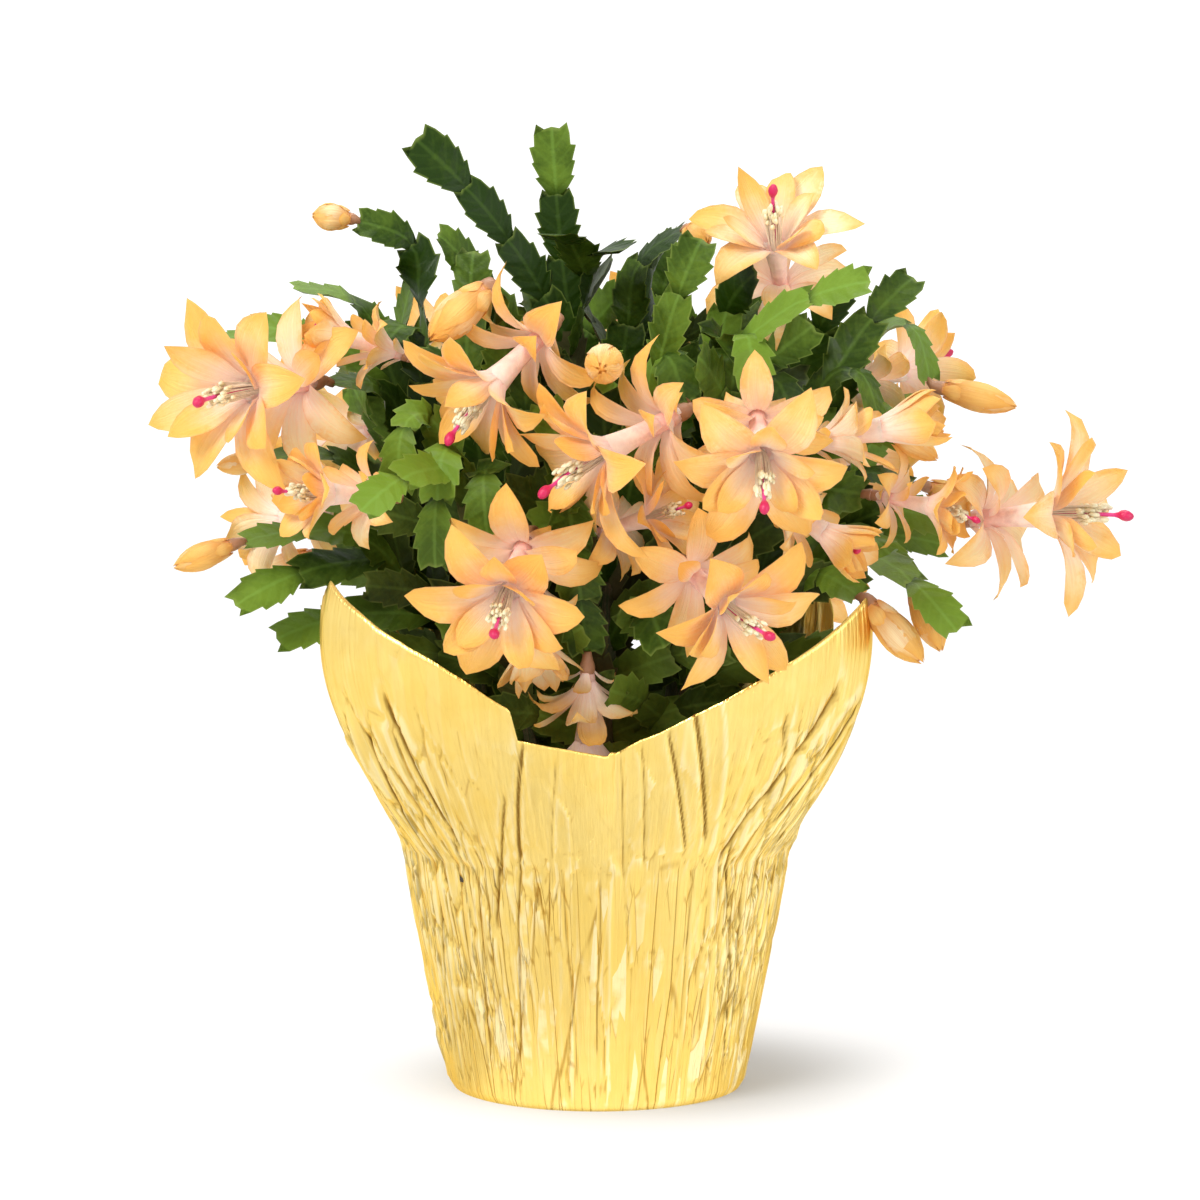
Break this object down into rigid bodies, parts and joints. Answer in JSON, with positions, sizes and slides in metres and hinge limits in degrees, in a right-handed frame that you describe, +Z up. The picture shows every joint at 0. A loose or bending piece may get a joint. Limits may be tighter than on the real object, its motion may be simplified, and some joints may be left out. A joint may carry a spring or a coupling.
{
  "type": "potted christmas cactus",
  "caption": "Bushy holiday cactus with toothed flat pads, hanging peach blooms and buds, in a nursery pot inside a gold foil cover with four raised corners.",
  "frame": {"origin": "middle of the foil cover's flat underside", "axes": "+Z up, -Y towards the side that the picture shows, +X to that side's right"},
  "size_m": [0.3786, 0.3099, 0.3842],
  "materials": {
    "foil": "satin",
    "pot_plastic": "matte",
    "soil": "matte",
    "leaf": "satin",
    "petal": "satin",
    "bud": "satin"
  },
  "bodies": {
    "root": {"bloom_back": "petal", "bloom_back_fall": "petal", "bloom_back_high": "petal", "bloom_back_left": "petal", "bloom_back_low": "petal", "bloom_back_mid": "petal", "bloom_back_right": "petal", "bloom_back_top": "petal", "bloom_cone": "petal", "bloom_core": "petal", "bloom_crown": "petal", "bloom_drop": "petal", "bloom_dusk": "petal", "bloom_edge": "petal", "bloom_far": "petal", "bloom_fold": "petal", "bloom_gaze": "petal", "bloom_heart": "petal", "bloom_lap": "petal", "bloom_left": "petal", "bloom_peep": "petal", "bloom_side_left": "petal", "bloom_side_right": "petal", "bloom_skirt": "petal", "bloom_tall": "petal", "bloom_well": "petal", "bud_arch": "bud", "bud_back_fall": "bud", "bud_back_low": "bud", "bud_back_rise": "bud", "bud_fin": "bud", "bud_hook": "bud", "bud_knob": "bud", "bud_ledge": "bud", "bud_low": "bud", "bud_nub": "bud", "bud_oar": "bud", "bud_perch": "bud", "bud_side": "bud", "bud_strand": "bud", "bud_tail": "bud", "bud_twig": "bud", "foil_cover": "foil", "nursery_pot": "pot_plastic", "potting_soil": "soil", "stem_back": "leaf", "stem_back_left": "leaf", "stem_back_right": "leaf", "stem_crown": "leaf", "stem_front": "leaf", "stem_front_left": "leaf", "stem_front_right": "leaf", "stem_left": "leaf", "stem_right": "leaf"}
  },
  "joints": []
}
